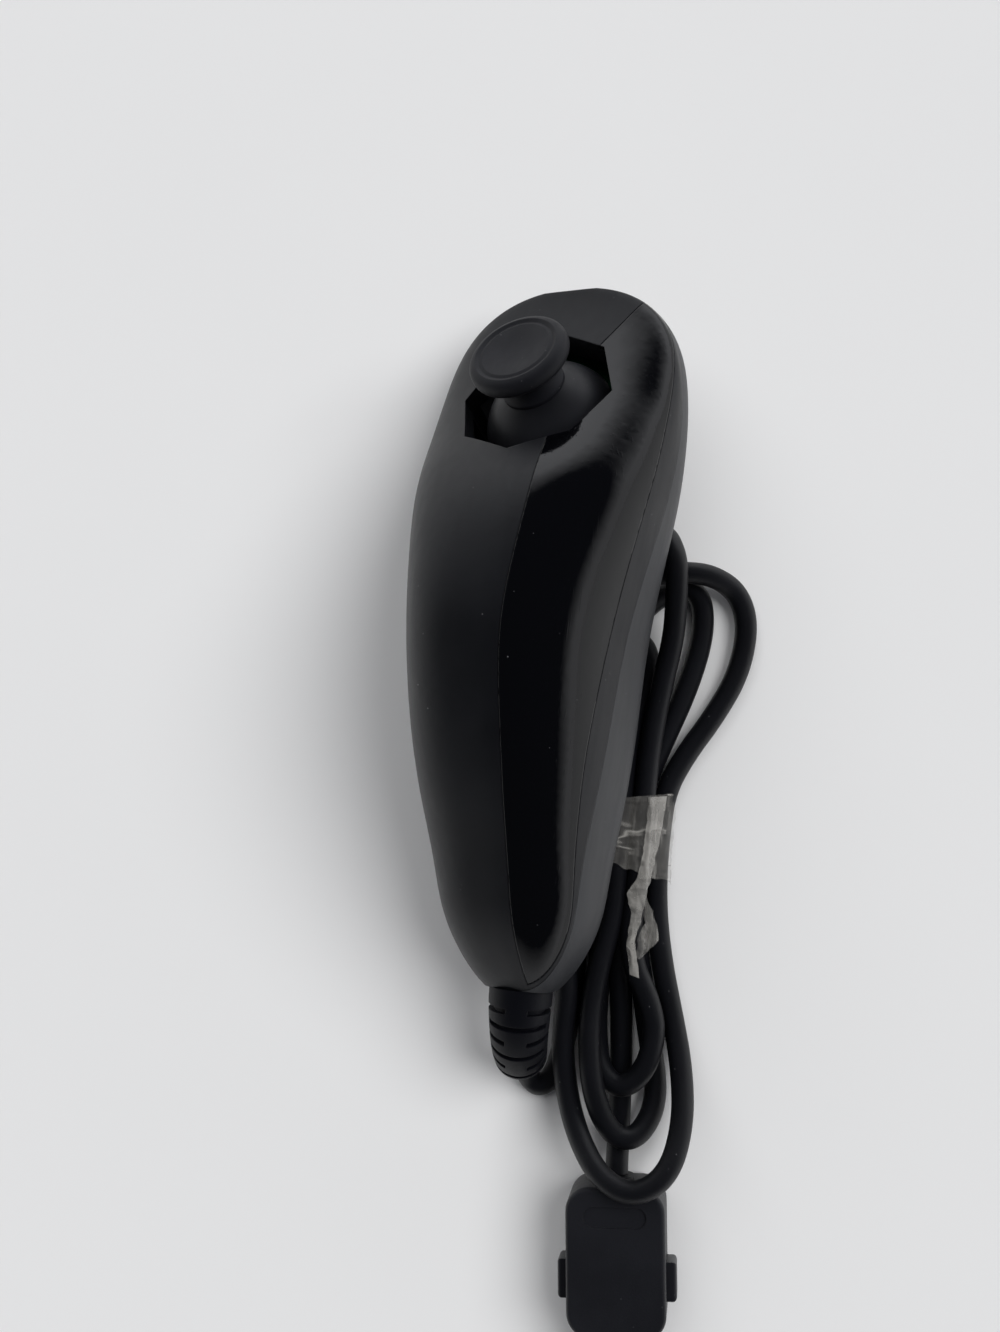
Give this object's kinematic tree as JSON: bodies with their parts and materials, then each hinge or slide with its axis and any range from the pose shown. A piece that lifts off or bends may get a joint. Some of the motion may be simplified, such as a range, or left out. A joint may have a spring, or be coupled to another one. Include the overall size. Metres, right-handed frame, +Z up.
{
  "type": "one-handed motion game controller",
  "caption": "One-handed motion controller with a thumb stick in an octagonal gate, buttons under the nose, and a corded plug, its cord tied in a hank.",
  "frame": {"origin": "on the table plane, under the middle of the body's box, from the strain relief to the nose", "axes": "+Y along the body towards its nose, +Z up from the table; the body lies rolled 21 degrees to its left, against the hank"},
  "size_m": [0.0517, 0.1649, 0.0383],
  "materials": {
    "matte_black_shell": "fine moulded texture",
    "gloss_black_panel": "polished, lightly scratched",
    "satin_black_controls": "satin, slightly worn",
    "black_cord_jacket": "matte soft jacket",
    "clear_tape": "clear film, wrinkled",
    "grey_moulding": "plain moulded",
    "steel_hardware": "plated",
    "circuit_board": "solder mask",
    "chip_black": "plain",
    "amber_ribbon": "film",
    "wire_jacket": "plain",
    "rubber_pad": "silicone",
    "plated_contact": "plated"
  },
  "bodies": {
    "case": {"upper_shell": "matte_black_shell", "lower_shell": "matte_black_shell", "plug_lower_shell": "matte_black_shell", "plug_upper_shell": "matte_black_shell", "gloss_panel": "gloss_black_panel", "button_frame": "satin_black_controls", "strain_relief": "black_cord_jacket", "cord_lead": "black_cord_jacket", "cord_hank": "black_cord_jacket", "cord_tail": "black_cord_jacket", "inner_cord": "black_cord_jacket", "plug_grommet": "black_cord_jacket", "plug_core": "black_cord_jacket", "tape_tie": "clear_tape", "return_plate": "grey_moulding", "centring_ring": "grey_moulding", "cord_clamp": "grey_moulding", "plug_tongue": "grey_moulding", "cord_socket": "grey_moulding", "stick_module": "steel_hardware", "module_base": "steel_hardware", "z_hinge_pin": "steel_hardware", "stick_screws": "steel_hardware", "board_screws": "steel_hardware", "case_screws": "steel_hardware", "main_board": "circuit_board", "stick_board": "circuit_board", "button_board": "circuit_board", "plug_board": "circuit_board", "motion_sensor": "chip_black", "controller_chip": "chip_black", "board_components": "chip_black", "tilt_sensor": "chip_black", "swing_sensor": "chip_black", "stick_ribbon": "amber_ribbon", "button_ribbon": "amber_ribbon", "cord_wires": "wire_jacket", "c_button_pad": "rubber_pad", "z_button_pad": "rubber_pad", "plug_contacts": "plated_contact"},
    "tilt_yoke": {"tilt_yoke": "grey_moulding", "cross_pin": "steel_hardware"},
    "stick": {"stick_cap": "satin_black_controls", "stick_dome": "satin_black_controls", "stick_shaft": "grey_moulding"},
    "swing_yoke": {"swing_yoke": "grey_moulding"},
    "c_button": {"c_button": "satin_black_controls"},
    "z_button": {"z_button": "satin_black_controls"},
    "latch_left": {"latch_left": "satin_black_controls"},
    "latch_right": {"latch_right": "satin_black_controls"}
  },
  "joints": [
    {"name": "stick_tilt", "type": "hinge", "parent": "case", "child": "tilt_yoke", "pos_m": [0.00013, 0.0375, 0.01481], "axis": [0.9336, 0, 0.3584], "range_deg": [-16, 16], "stiffness_Nm_per_rad": 0.05},
    {"name": "stick_swing", "type": "hinge", "parent": "tilt_yoke", "child": "stick", "pos_m": [0.00013, 0.0375, 0.01481], "axis": [0.1792, 0.866, -0.4668], "range_deg": [-16, 16], "stiffness_Nm_per_rad": 0.05},
    {"name": "swing_yoke_turn", "type": "hinge", "parent": "case", "child": "swing_yoke", "pos_m": [0.00013, 0.0375, 0.01481], "axis": [0.1792, 0.866, -0.4668], "range_deg": [-16, 16]},
    {"name": "c_button_press", "type": "slide", "parent": "case", "child": "c_button", "axis": [-0.2988, -0.5519, 0.7785], "range_m": [0, 0.0008], "stiffness_N_per_m": 1200, "deforming": ["c_button_pad"]},
    {"name": "z_button_press", "type": "hinge", "parent": "case", "child": "z_button", "pos_m": [0.00345, 0.04443, 0.00617], "axis": [0.9336, 0, 0.3584], "range_deg": [0, 6], "stiffness_Nm_per_rad": 0.07, "deforming": ["z_button_pad"]},
    {"name": "latch_left_squeeze", "type": "slide", "parent": "case", "child": "latch_left", "axis": [0.9969, 0.0785, 0], "range_m": [0, 0.0008], "stiffness_N_per_m": 1500},
    {"name": "latch_right_squeeze", "type": "slide", "parent": "case", "child": "latch_right", "axis": [-0.9969, -0.0785, 0], "range_m": [0, 0.0008], "stiffness_N_per_m": 1500}
  ],
  "couplings": [
    {"joint": "swing_yoke_turn", "follows": "stick_swing", "ratio": 1}
  ]
}
